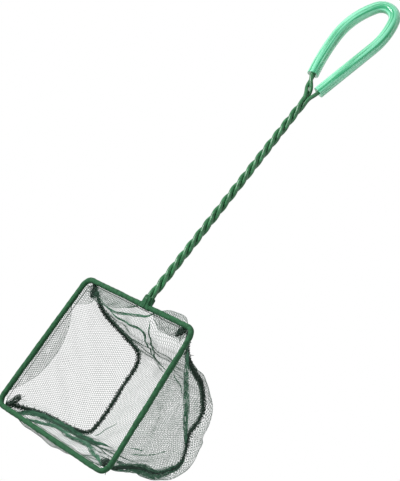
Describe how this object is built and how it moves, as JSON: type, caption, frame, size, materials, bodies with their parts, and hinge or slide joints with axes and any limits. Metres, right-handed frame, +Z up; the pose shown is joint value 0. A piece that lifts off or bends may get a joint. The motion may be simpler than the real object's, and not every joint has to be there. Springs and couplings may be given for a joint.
{
  "type": "aquarium fish net",
  "caption": "Hand net with a rectangular wire mouth, a twisted coated-wire handle, a clear vinyl sleeve on its hanging loop and a soft bag of fine netting for moving fish.",
  "frame": {"origin": "middle of the hanging loop's crown, where a peg or hook holds the net", "axes": "+Z up along the net as it hangs, +X across the mouth, +Y from the mouth into the bag"},
  "size_m": [0.1381, 0.0676, 0.3841],
  "materials": {
    "steel_wire": "drawn steel wire",
    "green_vinyl": "smooth vinyl coat",
    "mint_vinyl": "clear tinted vinyl tube",
    "hem_netting": "fine knitted netting in several layers",
    "bag_netting": "one layer of fine see-through knitted netting",
    "seam_thread": "overlocked thread"
  },
  "bodies": {
    "frame": {"hoop_core": "steel_wire", "hoop_coat": "green_vinyl", "left_strand_core": "steel_wire", "left_strand_coat": "green_vinyl", "right_strand_core": "steel_wire", "right_strand_coat": "green_vinyl", "return_strand_core": "steel_wire", "return_strand_coat": "green_vinyl", "loop_core": "steel_wire", "loop_coat": "green_vinyl", "tail_core": "steel_wire", "tail_coat": "green_vinyl", "grip_sleeve": "mint_vinyl", "hem_left": "hem_netting", "hem_right": "hem_netting", "hem_lower": "hem_netting", "hem_top_left": "hem_netting", "hem_top_right": "hem_netting", "neck_gather": "hem_netting"},
    "bag": {"left_panel": "bag_netting", "right_panel": "bag_netting", "gusset": "bag_netting", "left_seam": "seam_thread", "right_seam": "seam_thread", "mouth_stitch": "seam_thread", "upper_left_tack": "seam_thread", "lower_left_tack": "seam_thread", "upper_right_tack": "seam_thread", "lower_right_tack": "seam_thread"}
  },
  "joints": [
    {"name": "bag_swing", "type": "hinge", "parent": "frame", "child": "bag", "pos_m": [-0.01217, -0.02514, -0.31279], "axis": [1, 0, 0], "range_deg": [-20, 20], "stiffness_Nm_per_rad": 0.12}
  ]
}
